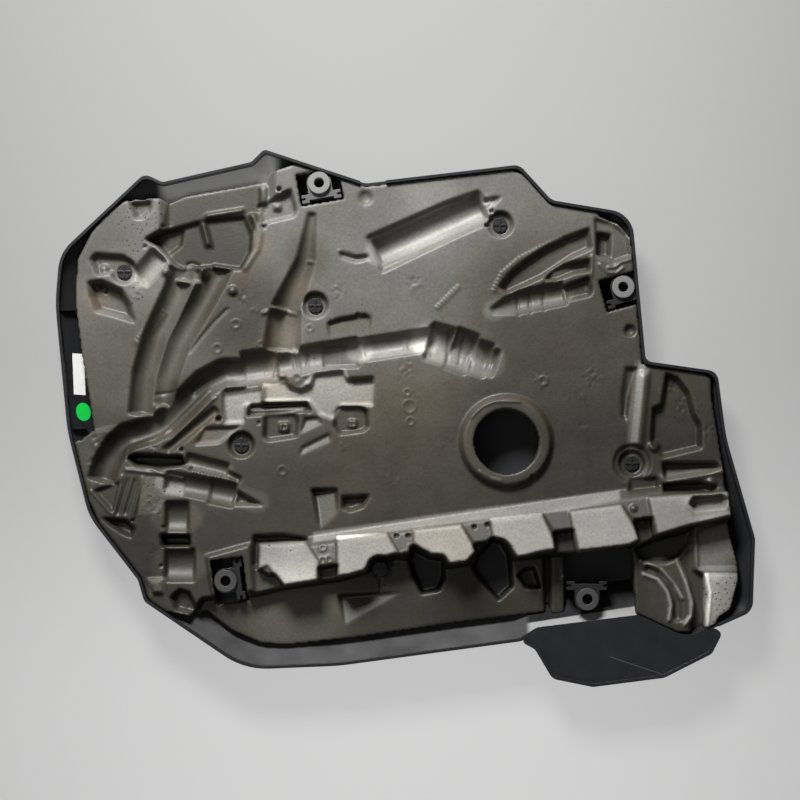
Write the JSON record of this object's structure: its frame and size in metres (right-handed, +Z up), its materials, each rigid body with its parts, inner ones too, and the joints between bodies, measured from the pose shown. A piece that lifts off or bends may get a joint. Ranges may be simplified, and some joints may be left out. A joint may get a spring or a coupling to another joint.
{
  "type": "engine cover",
  "caption": "Moulded engine cover lying foam side up: a dished shell with a foam liner imprinted by the engine, rubber ball-stud grommets on brackets and push-in clips.",
  "frame": {"origin": "middle of the shell's box in plan, at its outer face, on which the cover lies", "axes": "+X along the cover to the picture's right, +Y to the picture's upper edge, +Z up out of the foam"},
  "size_m": [0.6493, 0.4996, 0.064],
  "materials": {
    "shell_plastic": "satin moulded plastic with a fine grain",
    "moulded_foam": "skinned moulded foam with pores and a slight sheen",
    "bracket_plastic": "matt",
    "grommet_rubber": "matt",
    "clip_plastic": "matt",
    "label_paper": "bare, matt",
    "dot_paper": "bare, matt"
  },
  "bodies": {
    "root": {"cover_shell": "shell_plastic", "foam_liner": "moulded_foam", "grommet_bracket_upper_left": "bracket_plastic", "grommet_bracket_right": "bracket_plastic", "grommet_bracket_lower_left": "bracket_plastic", "grommet_bracket_lower_right": "bracket_plastic", "grommet_upper_left": "grommet_rubber", "grommet_right": "grommet_rubber", "grommet_lower_left": "grommet_rubber", "grommet_lower_right": "grommet_rubber", "foam_clip_1": "clip_plastic", "foam_clip_2": "clip_plastic", "foam_clip_3": "clip_plastic", "foam_clip_4": "clip_plastic", "foam_clip_5": "clip_plastic", "foam_clip_6": "clip_plastic", "part_label": "label_paper", "inspection_dot": "dot_paper"}
  },
  "joints": []
}
